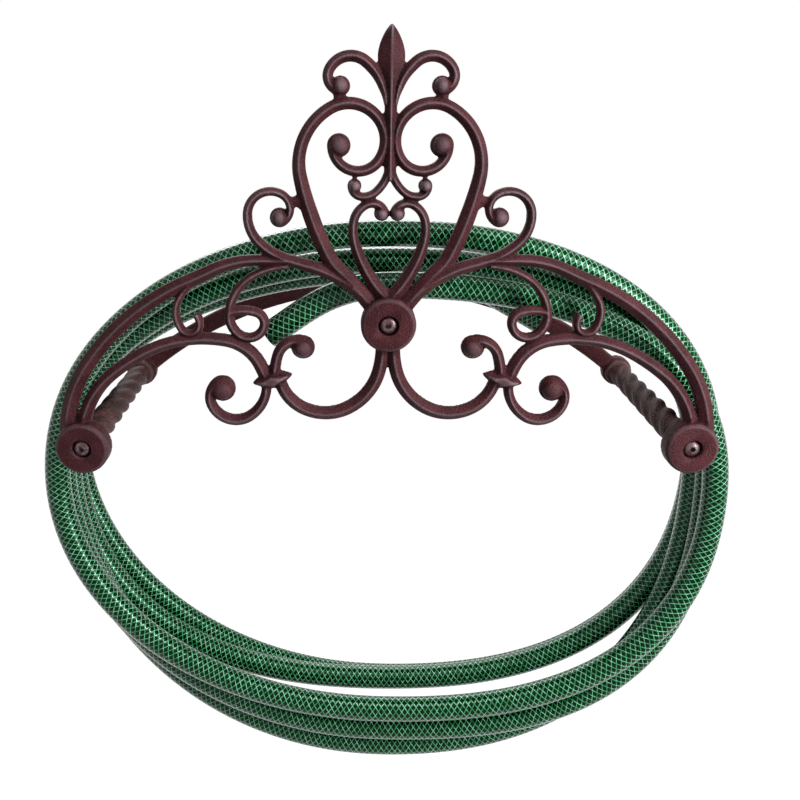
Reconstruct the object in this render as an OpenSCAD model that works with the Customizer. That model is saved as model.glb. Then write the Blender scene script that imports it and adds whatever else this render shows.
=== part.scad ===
// Wall-mounted cast-iron garden hose holder with a coiled hose.
// The wall is the plane y = 0 and the scrolled front plate faces -Y. Z is up.
// The origin is on the wall, behind the centre bolt.

/* [Layout] */
// Distance between the two lower bolts
boss_span = 412; // [390:2:440]
// Height of the centre bolt above the lower bolts
boss_rise = 86; // [80:1:95]
// Height of the leaf's tip above the centre bolt
crest_h = 183; // [170:1:200]
// Length of the twisted posts between the two plates
post_len = 160; // [150:5:190]

/* [Front plate] */
// Thickness of the scrollwork at its ridge
scroll_t = 8; // [6:0.5:9]
// Height of the scrollwork's straight side walls
scroll_side = 4; // [3:0.5:5]
// Thickness of the front bosses
boss_t = 12; // [11:0.5:15]
// Diameter of the front bosses
boss_d = 36; // [34:1:42]
// Diameter of the raised face on a front boss
boss_face_d = 32; // [27:1:33]
// Width of the two big scrolls that make the heart
heart_w = 8.4; // [7:0.2:10]
// Width of the long arch
arch_w = 10.8; // [9:0.2:12]
// Width of the lower rail
rail_w = 9; // [8:0.2:10]
// Width of the bowed yoke under the centre boss
yoke_w = 9; // [7.6:0.2:10]
// Width of the middle-sized scrolls
scroll_w = 6.4; // [5.6:0.2:7.6]
// Width of the finest scrolls
sprig_w = 4.6; // [4:0.2:5.6]
// Width of the leaf on top
leaf_w = 16.5; // [13:0.5:18]

/* [Wall plate] */
// Thickness of the wall plate's bosses
wall_t = 8; // [7:0.5:12]
// How far the bosses stand out from the wall plate's curved bar
bar_step = 1; // [0.5:0.25:2]
// Width of the wall plate's curved bar
bar_w = 14; // [13:0.5:18]
// Diameter of the wall plate's bosses
wall_boss_d = 25; // [24:1:34]
// Distance from the centre bolt down to the bar's middle at its highest point
bar_drop = 8; // [4:1:12]
// Distance between the two holes for wall screws
wall_hole_span = 70; // [60:5:220]
// Diameter of the holes for wall screws
wall_hole_d = 6; // [5:0.5:7]
// Diameter of the countersinks for wall screws
wall_sink_d = 11; // [10:0.5:12.5]

/* [Posts] */
// Diameter over the strands at the front end
post_d = 21; // [18:0.5:24]
// Diameter over the strands at the wall end
post_tail_d = 17.5; // [15:0.5:18]
// Number of strands in the twist
strands = 3; // [3:1:5]
// Turns that the strands make from end to end
twists = 2.5; // [1.5:0.25:3.5]
// Depth of the grooves between the strands
groove = 1.8; // [0.8:0.2:2.4]
// Diameter of the plain collar at each end
collar_d = 22; // [21:0.5:25]
// Length of the plain collar at each end
collar_len = 6; // [4:0.5:9]

/* [Screws] */
// Diameter of the screws that hold the posts
screw_d = 6; // [5:0.5:6.5]
// How far the screws reach into a post
screw_grip = 18; // [14:1:26]
// Diameter of the front screws' heads
head_d = 12; // [10.5:0.5:12.5]
// Height of the front screws' heads
head_h = 5.5; // [4:0.5:6]
// Width across the flats of the front screws' sockets
socket_af = 3.5; // [3:0.5:5]
// Diameter of the recess round a front screw's head
recess_d = 13.5; // [13:0.5:16]
// Depth of that recess
recess_t = 6; // [5.5:0.5:7]
// Diameter of the rear screws' countersunk heads
sunk_head_d = 12; // [11:0.5:13]
// Gap all round a screw in its hole
screw_gap = 0.2; // [0.15:0.05:0.4]

/* [Hose] */
// Outer diameter of the hose
hose_d = 18; // [15:0.5:18]
// Distance from one turn of the coil to the next, from front to back
hose_pitch = 19; // [19:0.25:22]
// Distance from the scrollwork's back to the middle of the first turn
hose_front = 18; // [16:1:24]
// How far the hanging part leans forward for each millimetre it hangs
coil_lean = 0.12; // [0.05:0.01:0.14]
// How far the front end runs straight before it bends over the middle post
front_run = 31; // [20:1:60]
// How far the rear end runs straight after its bend
rear_run = 60; // [20:1:80]

/* [Hidden] */
iron = "#4a2c2b";
dark_iron = "#3a2623";
post_brown = "#51392f";
steel = "#5c5654";
green = "#146b3a";
$fn = 48;

// Planes from the wall outwards
post_back = wall_t;
plate_back = wall_t + post_len;
boss_face = plate_back + boss_t;

// Where the three posts stand: x and z
LEFT = [-boss_span / 2, -boss_rise];
RIGHT = [boss_span / 2, -boss_rise];
CENTRE = [0, 0];
POSTS = [LEFT, RIGHT, CENTRE];

// The scrolls are drawn for this span, rise and height of the leaf's tip, and their
// layout stretches with the sizes above. Widths don't stretch.
DRAWN = [412, 86, 183];
function placed(x, z) = [x * boss_span / DRAWN[0], z * (z < 0 ? boss_rise / DRAWN[1] : crest_h / DRAWN[2])];

// The largest turn, in degrees, and the longest run from one section to the next
turn_step = 13;
run_step = 17;

// Each scroll starts at [x, z, heading] and goes on through arcs of [radius, turn], tangent to
// each other, where a positive turn is anticlockwise. Next come its widths, as
// [how far along, share of its size's width], and then the radius of the ball at its end.
HEART = [[-9.4, 9.2, 127.6],
    [[600, 0.7], [205, 7.7], [34, -19.7], [200, -14.8], [38.9, -71.7], [22.9, -88.1], [21.1, -65.1],
     [16, -145.5]],
    [[0, 1.2], [0.3, 1.2], [0.45, 0.95], [0.7, 0.88], [1, 0.75]], 7.3];
CREST = [[-3, 137, 90.6], [[32.3, 51.7], [14.6, 98.9], [8.4, 58.3], [9, 47.7]],
    [[0, 0.35], [0.15, 0.9], [0.35, 1.12], [1, 0.95]], 6];
DROP = [[-1, 97, -105], [[25, -34], [12, -48.3], [6.7, -83.5]], [[0, 0.85], [1, 0.8]], 4.4];
INNER = [[-0.5, 15.5, 131], [[300, 1], [81, -26], [35, -23], [15, -54.2], [8.5, -98.4]],
    [[0, 1.45], [0.35, 1.25], [0.6, 0.92], [1, 0.85]], 4.8];
SHOULDER = [[-9.1, 10, 130.5],
    [[400, 0.6], [79.6, 33.2], [900, -0.9], [45, -28], [23.7, -50.6], [14.8, -110.8], [10.3, -121.7]],
    [[0, 1.4], [0.35, 1.25], [0.6, 0.95], [1, 0.75]], 6.2];
ARCH = [[-61, 41, 176], [[245, 6], [68, 24], [320, -3], [165, 32], [95, 36]],
    [[0, 0.55], [0.3, 0.85], [1, 1]]];
RAIL = [[-81, -37.5, 110], [[95, 6], [30, 54], [85, 38], [140, 11], [63, 48]],
    [[0, 1], [0.4, 0.85], [1, 1.05]]];
YOKE = [[-72, -38, -81], [[29, 56], [33, 53], [41, 48], [69, 15]], [[0, 0.9], [0.5, 1], [1, 1]]];
LOW_CURL = [[-81, -40, -83], [[26, -64], [17.2, -102.2], [14, -71.2]], [[0, 1], [0.5, 1.15], [1, 1]], 8.8];
HIGH_CURL = [[-75, -33.5, 86], [[48.9, -13.8], [14.6, -88.6]], [[0, 1.15], [1, 1.1]], 7.8];
RING = [[-64.5, 38, -177], [[52, 27], [32, 57], [15.5, 54], [10.5, 121], [7.5, 80], [28, 35]],
    [[0, 1], [0.5, 1.35], [1, 1.3]]];
SPRIG = [[-114.5, 34, -161], [[39, 42], [20, 61], [6.5, 135], [9.5, 51]], [[0, 1], [1, 1.1]]];

// The flat webs that join the crest and shoulder scrolls to the heart: [x, z, width, height]
WEBS = [[-32.5, 138.5, 11, 10], [-60, 79, 9, 15]];

// The leaf and its stem from the tip down: [distance down, width], in widths of the leaf
LEAF = [[0, 0.1], [0.18, 0.38], [0.44, 0.67], [0.75, 0.9], [1.05, 1], [1.45, 0.93], [1.8, 0.72], [2.15, 0.5],
        [3, 0.46]];
// The height at which the stem ends, and how much thicker its ridge is than the scrolls'
stem_foot = 92;
leaf_ridge = 1.1;

// The knot where the rail, the yoke and two curls are tied: [x, z], tilt, length and width
KNOT = [-76.7, -38.5];
knot_tilt = 13;
knot_len = 27;
knot_w = 13;
// The thickness of the ring scroll and the sprig at their ridges
sprig_t = scroll_t * 0.88;

// The coil's turns, front first, on the middle of the hose: its highest z over the middle post,
// its reach to the right, its lowest z, its reach to the left, and how squarely it bends at the
// lower right and at the lower left, where 2 is an ellipse
TURNS = [
    [21, 240, -308, 241, 2.45, 2],
    [53, 242, -338, 243, 2.7, 2],
    [31, 240, -367, 245, 2.35, 2],
    [20, 247, -322, 247, 2.4, 2.35],
    [20, 255, -333, 251, 2.45, 1.97]];
// Where the rear end starts, over the middle post
last_top = 19.5;
// How squarely all turns bend at the upper right and the upper left
square_upper_right = 2.22;
square_upper_left = 2.05;
// The height at which the turns are widest, and the height below which they lean
widest = -128;
lean_from = -95;
// How fast the lean sets in
lean_ease = 30;
// The slopes and bend radii of the two ends
front_slope = 35;
front_bend = 96;
rear_slope = 30;
rear_bend = 150;
rings_per_loop = 24;
hose_sides = 6;

// ---- Scrolled plate ----

// Points [x, z, heading, way from the start] along a chain of arcs
function travel(x, z, heading, arcs, way = 0, i = 0) =
    i == len(arcs) ? [[x, z, heading, way]] :
    let(r = arcs[i][0], turn = arcs[i][1], s = sign(turn), arc = r * abs(turn) * PI / 180,
        n = max(ceil(abs(turn) / turn_step), ceil(arc / run_step)),
        cx = x - s * r * sin(heading), cz = z + s * r * cos(heading), last = heading + turn)
    concat([for (k = [0 : n - 1]) let(t = heading + turn * k / n)
               [cx + s * r * sin(t), cz - s * r * cos(t), t, way + arc * k / n]],
           travel(cx + s * r * sin(last), cz - s * r * cos(last), last, arcs, way + arc, i + 1));

// One scroll: straight side walls and two faces that meet in a ridge. A ball at its end is
// placed so that its edge runs on from the scroll's outer edge.
module member(scroll, w, ridge = scroll_t) {
    run = travel(scroll[0][0], scroll[0][1], scroll[0][2], scroll[1]);
    n = len(run);
    section = [[-1, 0], [-1, scroll_side], [0, ridge], [1, scroll_side], [1, 0]];
    points = [for (i = [0 : n - 1])
        let(p = placed(run[i].x, run[i].y), t = run[i].z,
            half = w / 2 * lookup(run[i][3] / run[n - 1][3], scroll[2]))
        for (c = section) [p.x - c[0] * half * sin(t), -plate_back - c[1], p.y + c[0] * half * cos(t)]];
    skin(points, len(section));
    if (len(scroll) > 3) {
        r = scroll[3];
        last = run[n - 1];
        p = placed(last.x, last.y);
        inward = (r - w * lookup(1, scroll[2]) / 2) * sign(scroll[1][len(scroll[1]) - 1][1]);
        stand(p.x - inward * sin(last.z), p.y + inward * cos(last.z), plate_back) ball(r);
    }
}

// The solid whose skin runs over rings of m points each
module skin(points, m) {
    n = len(points) / m;
    walls = [for (i = [0 : n - 2], j = [0 : m - 1]) let(a = i * m + j, b = i * m + (j + 1) % m)
        each [[a, b, a + m], [b, b + m, a + m]]];
    ends = [[for (j = [m - 1 : -1 : 0]) j], [for (j = [0 : m - 1]) (n - 1) * m + j]];
    polyhedron(points, concat(walls, ends), convexity = 4);
}

// Turns a solid that is built upwards so that it stands out from the wall at x, z
module stand(x, z, y) {
    translate([x, -y, z]) rotate([90, 0, 0]) children();
}

// The domed end of a scroll
module ball(r) {
    rotate_extrude($fn = 16)
        polygon([[0, 0], [r, 0], [r, scroll_side], [r * 0.72, scroll_t * 0.95], [0, scroll_t * 1.25]]);
}

// A boss with a sloping rim round its raised face
module front_boss() {
    rim = (boss_d - boss_face_d) / 2;
    cylinder(d = boss_d, h = boss_t - rim);
    translate([0, 0, boss_t - rim]) cylinder(d1 = boss_d, d2 = boss_face_d, h = rim);
}

// The leaf on top and the stem that it grows from, as rings of one section from the foot up
module leaf_and_stem() {
    tip = placed(0, DRAWN[2]).y;
    foot = placed(0, stem_foot).y;
    last = len(LEAF) - 1;
    rings = concat([[foot, LEAF[last][1]]],
                   [for (i = [last : -1 : 0]) [tip - leaf_w * LEAF[i][0], LEAF[i][1]]]);
    section = [[-1, 0], [-1, scroll_side], [0, scroll_t * leaf_ridge], [1, scroll_side], [1, 0]];
    skin([for (r = rings, c = section) [-c[0] * leaf_w * r[1] / 2, -plate_back - c[1], r[0]]], len(section));
}

// The knot: a lozenge with a raised waist
module knot() {
    p = placed(KNOT.x, KNOT.y);
    top = scroll_t * 1.4;
    translate([p.x, -plate_back, p.y]) rotate([0, -knot_tilt, 0]) rotate([90, 0, 0])
        polyhedron(
            [[-knot_len / 2, 0, 0], [0, -knot_w / 2, 0], [knot_len / 2, 0, 0], [0, knot_w / 2, 0],
             [-knot_len / 2, 0, scroll_side], [0, -knot_w / 2, scroll_side],
             [knot_len / 2, 0, scroll_side], [0, knot_w / 2, scroll_side],
             [-knot_len / 4, 0, top], [knot_len / 4, 0, top]],
            [[0, 1, 2, 3], [0, 4, 5, 1], [1, 5, 6, 2], [2, 6, 7, 3], [3, 7, 4, 0],
             [4, 8, 5], [5, 8, 9], [5, 9, 6], [6, 9, 7], [7, 9, 8], [7, 8, 4]]);
}

module left_half() {
    member(HEART, heart_w);
    member(CREST, scroll_w);
    member(DROP, scroll_w);
    member(INNER, scroll_w);
    member(SHOULDER, scroll_w);
    member(ARCH, arch_w);
    member(RAIL, rail_w);
    member(YOKE, yoke_w);
    member(LOW_CURL, scroll_w);
    member(HIGH_CURL, scroll_w);
    member(RING, sprig_w, sprig_t);
    member(SPRIG, sprig_w, sprig_t);
    for (web = WEBS) {
        p = placed(web[0], web[1]);
        stand(p.x - web[2] / 2, p.y - web[3] / 2, plate_back) cube([web[2], web[3], scroll_side]);
    }
    knot();
}

module front_plate() {
    plate_w = boss_span + boss_d;
    color(iron) difference() {
        resize([plate_w, 0, 0]) union() {
            left_half();
            mirror([1, 0, 0]) left_half();
            leaf_and_stem();
            for (p = POSTS) stand(p.x, p.y, plate_back) front_boss();
        }
        for (p = POSTS) {
            stand(p.x, p.y, plate_back - 1) cylinder(d = screw_d + 2 * screw_gap, h = boss_t + 2);
            stand(p.x, p.y, boss_face - recess_t) cylinder(d = recess_d, h = recess_t + 1);
        }
    }
}

// ---- Wall plate ----

// The bar is an arc through the lower bolts, with its highest point under the centre bolt
bar_height = boss_rise - bar_drop;
bar_r = (pow(boss_span / 2, 2) + pow(bar_height, 2)) / (2 * bar_height);
bar_centre = -bar_drop - bar_r;
bar_turn = asin(boss_span / 2 / bar_r);
// Where the wall screws go, along the bar
wall_hole_turn = asin(wall_hole_span / 2 / bar_r);
wall_hole_z = bar_centre + bar_r * cos(wall_hole_turn);
bar_t = wall_t - bar_step;
sunk_t = (sunk_head_d - screw_d) / 2;
wall_sink_t = (wall_sink_d - wall_hole_d) / 2;

module wall_plate() {
    color(dark_iron) difference() {
        union() {
            translate([0, 0, bar_centre]) rotate([90, 0, 0]) rotate([0, 0, 90 - bar_turn])
                rotate_extrude(angle = 2 * bar_turn, $fn = 96)
                    translate([bar_r - bar_w / 2, 0]) square([bar_w, bar_t]);
            for (p = POSTS) stand(p.x, p.y, 0) cylinder(d = wall_boss_d, h = wall_t);
        }
        for (p = POSTS) {
            stand(p.x, p.y, -1) cylinder(d = screw_d + 2 * screw_gap, h = wall_t + 2);
            stand(p.x, p.y, 0)
                cylinder(d1 = sunk_head_d + 2 * screw_gap, d2 = screw_d + 2 * screw_gap, h = sunk_t);
        }
        for (side = [-1, 1]) {
            stand(side * wall_hole_span / 2, wall_hole_z, -1) cylinder(d = wall_hole_d, h = wall_t + 2);
            stand(side * wall_hole_span / 2, wall_hole_z, bar_t - wall_sink_t)
                cylinder(d1 = wall_hole_d, d2 = wall_sink_d, h = wall_sink_t);
        }
    }
}

// ---- Posts ----

// The strands' outline: a circle with a rounded groove between two strands
module strand_outline() {
    polygon([for (k = [0 : strands * 6 - 1])
        let(a = k * 60 / strands, r = post_d / 2 - groove * pow(cos(strands * a / 2), 4))
            r * [cos(a), sin(a)]]);
}

module post(p) {
    twist_len = post_len - 2 * collar_len;
    tapped = screw_grip + 2;
    color(post_brown) stand(p.x, p.y, post_back) difference() {
        union() {
            cylinder(d = collar_d, h = collar_len);
            translate([0, 0, collar_len + twist_len]) mirror([0, 0, 1])
                linear_extrude(twist_len, twist = 360 * twists, slices = 28, scale = post_tail_d / post_d)
                    strand_outline();
            translate([0, 0, post_len - collar_len]) cylinder(d = collar_d, h = collar_len);
        }
        translate([0, 0, -1]) cylinder(d = screw_d + 2 * screw_gap, h = tapped + 1);
        translate([0, 0, post_len - tapped]) cylinder(d = screw_d + 2 * screw_gap, h = tapped + 1);
    }
}

// ---- Screws ----

module front_screw(p) {
    seat = boss_face - recess_t;
    shank = seat - plate_back + screw_grip;
    color(steel) stand(p.x, p.y, seat) difference() {
        union() {
            translate([0, 0, -shank]) cylinder(d = screw_d, h = shank);
            cylinder(d = head_d, h = head_h);
        }
        translate([0, 0, head_h - socket_af * 0.6]) cylinder(d = socket_af / cos(30), h = socket_af, $fn = 6);
    }
}

module rear_screw(p) {
    drive_w = screw_d * 0.25;
    color(steel) stand(p.x, p.y, 0) difference() {
        union() {
            cylinder(d1 = sunk_head_d, d2 = screw_d, h = sunk_t);
            cylinder(d = screw_d, h = wall_t + screw_grip);
        }
        for (a = [0, 90]) rotate([0, 0, a])
            translate([-screw_d / 2, -drive_w / 2, -1]) cube([screw_d, drive_w, 1 + sunk_t * 0.7]);
    }
}

// ---- Hose ----

// Where the hose's middle lies from front to back, after a number of turns
function hose_y(turn) = -plate_back + hose_front + hose_pitch * turn;

// A point of the coil at an angle from the first top, clockwise as seen from the front.
// Each quarter of a turn is a quarter of a superellipse.
function coil_point(angle) =
    let(k = min(floor(angle / 360), len(TURNS) - 1), a = angle - 360 * k, right = a < 180,
        upper = a <= 90 || a >= 270,
        top = right ? TURNS[k][0] : k + 1 < len(TURNS) ? TURNS[k + 1][0] : last_top,
        reach = TURNS[k][right ? 1 : 3], height = upper ? top - widest : widest - TURNS[k][2],
        square = upper ? (right ? square_upper_right : square_upper_left)
                       : TURNS[k][right ? 4 : 5],
        r = pow(pow(abs(sin(a)) / reach, square) + pow(abs(cos(a)) / height, square), -1 / square),
        z = widest + r * cos(a), hang = max(0, lean_from - z))
    [r * sin(a), hose_y(angle / 360) - coil_lean * hang * hang / (hang + lean_ease), z];

// A point of an end: an arc from the top over the middle post, then a straight run down its slope.
// side is -1 on the left and 1 on the right, and s goes from 0 at the top to 1 at the cut.
function end_point(side, s, top, bend, slope, run, y) =
    let(arc = bend * slope * PI / 180, d = s * (arc + run), a = min(slope, d / bend * 180 / PI),
        straight = max(0, d - arc))
    [side * (bend * sin(a) + straight * cos(slope)), y, top - bend * (1 - cos(a)) - straight * sin(slope)];

end_rings = 7;
turns = len(TURNS);
step = 360 / rings_per_loop;
hose_path = concat(
    [for (i = [end_rings : -1 : 1])
        end_point(-1, i / end_rings, TURNS[0][0], front_bend, front_slope, front_run, hose_y(0))],
    [for (i = [0 : turns * rings_per_loop]) coil_point(i * step)],
    [for (i = [1 : end_rings])
        end_point(1, i / end_rings, last_top, rear_bend, rear_slope, rear_run, hose_y(turns))]);
function total(v, i = 0) = i == len(v) ? 0 : v[i] + total(v, i + 1);
hose_len = total([for (i = [1 : len(hose_path) - 1]) norm(hose_path[i] - hose_path[i - 1])]);

// The least gap from one turn to another, on the path's own points
hose_gap = min([for (i = [0 : len(hose_path) - 1], j = [i + rings_per_loop / 2 : len(hose_path) - 1])
    norm(hose_path[i] - hose_path[j])]) - hose_d;
echo(hose_length_mm = hose_len, least_gap_mm = hose_gap);

module hose() {
    n = len(hose_path);
    points = [for (i = [0 : n - 1])
        let(t = hose_path[min(i + 1, n - 1)] - hose_path[max(i - 1, 0)], along = t / norm(t),
            side = cross([0, 1, 0], along), across = side / norm(side), out = cross(along, across))
        for (k = [0 : hose_sides - 1]) let(a = k * 360 / hose_sides)
            hose_path[i] + hose_d / 2 * (cos(a) * across + sin(a) * out)];
    walls = [for (i = [0 : n - 2], k = [0 : hose_sides - 1])
        let(a = i * hose_sides + k, b = i * hose_sides + (k + 1) % hose_sides)
        each [[a, a + hose_sides, b], [b, a + hose_sides, b + hose_sides]]];
    ends = concat([for (k = [1 : hose_sides - 2]) [0, k, k + 1]],
                  [for (k = [1 : hose_sides - 2]) let(e = (n - 1) * hose_sides) [e, e + k + 1, e + k]]);
    color(green) polyhedron(points, concat(walls, ends), convexity = 10);
}

front_plate();
wall_plate();
post(LEFT);  // post_left
post(RIGHT);  // post_right
post(CENTRE);  // post_centre
front_screw(LEFT);  // front_screw_left
front_screw(RIGHT);  // front_screw_right
front_screw(CENTRE);  // front_screw_centre
rear_screw(LEFT);  // rear_screw_left
rear_screw(RIGHT);  // rear_screw_right
rear_screw(CENTRE);  // rear_screw_centre
hose();
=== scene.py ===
# Wall-mounted cast-iron hose holder with a coiled garden hose.
# The wall is the plane y = 0, the scrolled plate faces -Y and z is up.
# Lengths in the tables are in millimetres unless a note says otherwise. Meshes are in metres.
import math

import bmesh
import bpy
import numpy as np
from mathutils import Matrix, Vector


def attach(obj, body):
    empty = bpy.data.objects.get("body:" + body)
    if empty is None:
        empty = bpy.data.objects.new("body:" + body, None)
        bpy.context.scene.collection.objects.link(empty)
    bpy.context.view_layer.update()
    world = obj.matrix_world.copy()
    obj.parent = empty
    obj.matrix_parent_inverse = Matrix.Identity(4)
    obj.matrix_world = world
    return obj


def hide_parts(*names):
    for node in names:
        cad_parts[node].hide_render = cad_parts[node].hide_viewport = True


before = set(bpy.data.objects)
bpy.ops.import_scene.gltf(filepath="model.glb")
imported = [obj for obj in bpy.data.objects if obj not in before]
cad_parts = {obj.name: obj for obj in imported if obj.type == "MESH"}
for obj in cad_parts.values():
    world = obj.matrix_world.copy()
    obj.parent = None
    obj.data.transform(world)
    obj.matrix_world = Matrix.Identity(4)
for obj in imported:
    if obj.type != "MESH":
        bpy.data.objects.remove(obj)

scene = bpy.context.scene
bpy.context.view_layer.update()  # brings the imported CAD parts up to date, before anything is made
mm = 0.001

camera = {
    "place": (-23.65, -709, 141),
    "pitch": 16.64,  # degrees below the horizon
    "lens": 38.25,
    "sensor": 36,
    "shift": (0.06, -0.06),
}


def makeCamera():
    data = bpy.data.cameras.new("camera")
    data.lens = camera["lens"]
    data.sensor_width = camera["sensor"]
    data.shift_x, data.shift_y = camera["shift"]
    made = bpy.data.objects.new("camera", data)
    made.location = [c * mm for c in camera["place"]]
    made.rotation_euler = (math.radians(90 - camera["pitch"]), 0, 0)
    scene.collection.objects.link(made)
    scene.camera = made


makeCamera()
print("camera set")


def colour(code):
    # sRGB hex to the linear values that sockets want
    parts = [int(code[i:i + 2], 16) / 255 for i in (1, 3, 5)]
    return [c / 12.92 if c <= 0.04045 else ((c + 0.055) / 1.055) ** 2.4 for c in parts] + [1]


def addNode(tree, kind, inputs=None, **settings):
    made = tree.nodes.new(kind)
    for name, value in settings.items():
        setattr(made, name, value)
    for name, value in (inputs or {}).items():
        if isinstance(value, bpy.types.NodeSocket):
            tree.links.new(value, made.inputs[name])
        else:
            made.inputs[name].default_value = value
    return made


def newTree(name, inputs):
    # a geometry tree with named inputs, each with its kind of socket
    tree = bpy.data.node_groups.new(name, "GeometryNodeTree")
    tree.interface.new_socket("Geometry", in_out="INPUT", socket_type="NodeSocketGeometry")
    tree.interface.new_socket("Geometry", in_out="OUTPUT", socket_type="NodeSocketGeometry")
    for label, kind in inputs.items():
        tree.interface.new_socket(label, in_out="INPUT", socket_type="NodeSocket" + kind)
    return tree


def endTree(tree, geometry, finish):
    # the export drops instances, so a tree ends in real meshes that have their finish
    single = addNode(tree, "GeometryNodeRealizeInstances", {"Geometry": geometry})
    finished = addNode(tree, "GeometryNodeSetMaterial", {
        "Geometry": single.outputs["Geometry"], "Material": finish})
    addNode(tree, "NodeGroupOutput", {"Geometry": finished.outputs["Geometry"]})


def newObject(name, points, edges=(), faces=()):
    mesh = bpy.data.meshes.new(name)
    mesh.from_pydata([tuple(p) for p in points], list(edges), list(faces))
    made = bpy.data.objects.new(name, mesh)
    scene.collection.objects.link(made)
    return made


def addTree(piece, tree, values):
    made = piece.modifiers.new(tree.name, "NODES")
    made.node_group = tree
    for item in tree.interface.items_tree:
        if item.item_type == "SOCKET" and item.in_out == "INPUT" and item.name in values:
            made[item.identifier] = values[item.name]


def addModifier(piece, kind, **settings):
    made = piece.modifiers.new(kind.lower(), kind)
    for name, value in settings.items():
        setattr(made, name, value)


def applyAll(piece):
    # turns the piece into a plain mesh with its modifiers applied
    depsgraph = bpy.context.evaluated_depsgraph_get()
    mesh = bpy.data.meshes.new_from_object(piece.evaluated_get(depsgraph), depsgraph=depsgraph)
    mesh.name = piece.name
    piece.modifiers.clear()
    piece.data = mesh
    return mesh


def shadeSmooth(mesh, sharpFrom):
    mesh.shade_smooth()
    mesh.set_sharp_from_angle(angle=math.radians(sharpFrom))


def dress(piece, materials, slot, *nodes):
    # gives the piece its finish, hangs it on the root body and hides the CAD parts that it stands in for
    piece.data.materials.clear()
    for material in materials:
        piece.data.materials.append(material)
    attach(piece, "root")
    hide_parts(*nodes)
    print(piece.name, "has", len(piece.data.polygons), "faces")


# What several pieces share
layout = {
    "postBack": 8,  # from the wall to the posts
    "plateBack": 168,  # from the wall to the front plate
    "bossDepth": 12,
    "recessDepth": 6,  # from a boss's face down to the seat of its screw
    "span": 412,  # between the outer bolts
    "rise": 86,  # from the outer bolts up to the middle one
}
# x and z of the three bolts, and of the posts that they hold
posts = {
    "left": (-layout["span"] / 2, -layout["rise"]),
    "right": (layout["span"] / 2, -layout["rise"]),
    "centre": (0, 0),
}


hose = {
    "diameter": 18,
    "bore": 12.6,
    "boreDepth": 26,
    "pitch": 19,
    "front": 18,  # from the back of the front plate to the middle of the first turn
    "lean": 0.12,  # how steeply the turns lean back below the posts
    "leanFrom": -95,
    "leanEase": 30,
    "widest": -128,
    # each turn: highest z, reach to the right, lowest z, reach to the left, and how square the
    # lower right and the lower left quarter are
    "turns": [
        (21, 240, -308, 241, 2.45, 2),
        (53, 242, -338, 243, 2.7, 2),
        (31, 240, -367, 245, 2.35, 2),
        (20, 247, -322, 247, 2.4, 2.35),
        (20, 255, -333, 251, 2.45, 1.97),
    ],
    "lastTop": 19.5,
    "squareUpperRight": 2.22,
    "squareUpperLeft": 2.05,
    "frontSlope": 35,  # degrees
    "frontBend": 96,
    "frontRun": 31,
    "rearSlope": 30,
    "rearBend": 150,
    "rearRun": 60,
    "stepsPerTurn": 168,
    "endSteps": 30,
    "smoothing": 12,  # passes that take the last unevenness out of the joins between quarters
    "sides": 32,
    "sharpFrom": 50,
}


def hoseDepth(turn):
    return -layout["plateBack"] + hose["front"] + hose["pitch"] * turn


def coilPoint(angle):
    # a point of the coil, clockwise from the first top. Each quarter is a quarter of a superellipse
    turns = hose["turns"]
    k = min(int(angle // 360), len(turns) - 1)
    a = angle - 360 * k
    right, upper = a < 180, a <= 90 or a >= 270
    nextTop = turns[k + 1][0] if k + 1 < len(turns) else hose["lastTop"]
    top = turns[k][0] if right else nextTop
    reach = turns[k][1 if right else 3]
    height = top - hose["widest"] if upper else hose["widest"] - turns[k][2]
    if upper:
        square = hose["squareUpperRight"] if right else hose["squareUpperLeft"]
    else:
        square = turns[k][4 if right else 5]
    s, c = math.sin(math.radians(a)), math.cos(math.radians(a))
    r = ((abs(s) / reach) ** square + (abs(c) / height) ** square) ** (-1 / square)
    z = hose["widest"] + r * c
    hang = max(0, hose["leanFrom"] - z)
    return [r * s, hoseDepth(angle / 360) - hose["lean"] * hang * hang / (hang + hose["leanEase"]), z]


def endPoint(side, share, top, bend, slope, run, depth):
    # a point of an end: an arc over the middle post, then a straight run down its slope
    tilt = math.radians(slope)
    arc = bend * tilt
    way = share * (arc + run)
    a, straight = min(tilt, way / bend), max(0, way - arc)
    return [side * (bend * math.sin(a) + straight * math.cos(tilt)), depth,
            top - bend * (1 - math.cos(a)) - straight * math.sin(tilt)]


def hoseRoute():
    turns, steps, ends = len(hose["turns"]), hose["stepsPerTurn"], hose["endSteps"]
    front = [endPoint(-1, i / ends, hose["turns"][0][0], hose["frontBend"], hose["frontSlope"],
                      hose["frontRun"], hoseDepth(0)) for i in range(ends, 0, -1)]
    coil = [coilPoint(i * 360 / steps) for i in range(turns * steps + 1)]
    rear = [endPoint(1, i / ends, hose["lastTop"], hose["rearBend"], hose["rearSlope"],
                     hose["rearRun"], hoseDepth(turns)) for i in range(1, ends + 1)]
    route = np.array(front + coil + rear)
    for _ in range(hose["smoothing"]):
        route[1:-1] = (route[:-2] + 2 * route[1:-1] + route[2:]) / 4
    return route * mm


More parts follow.
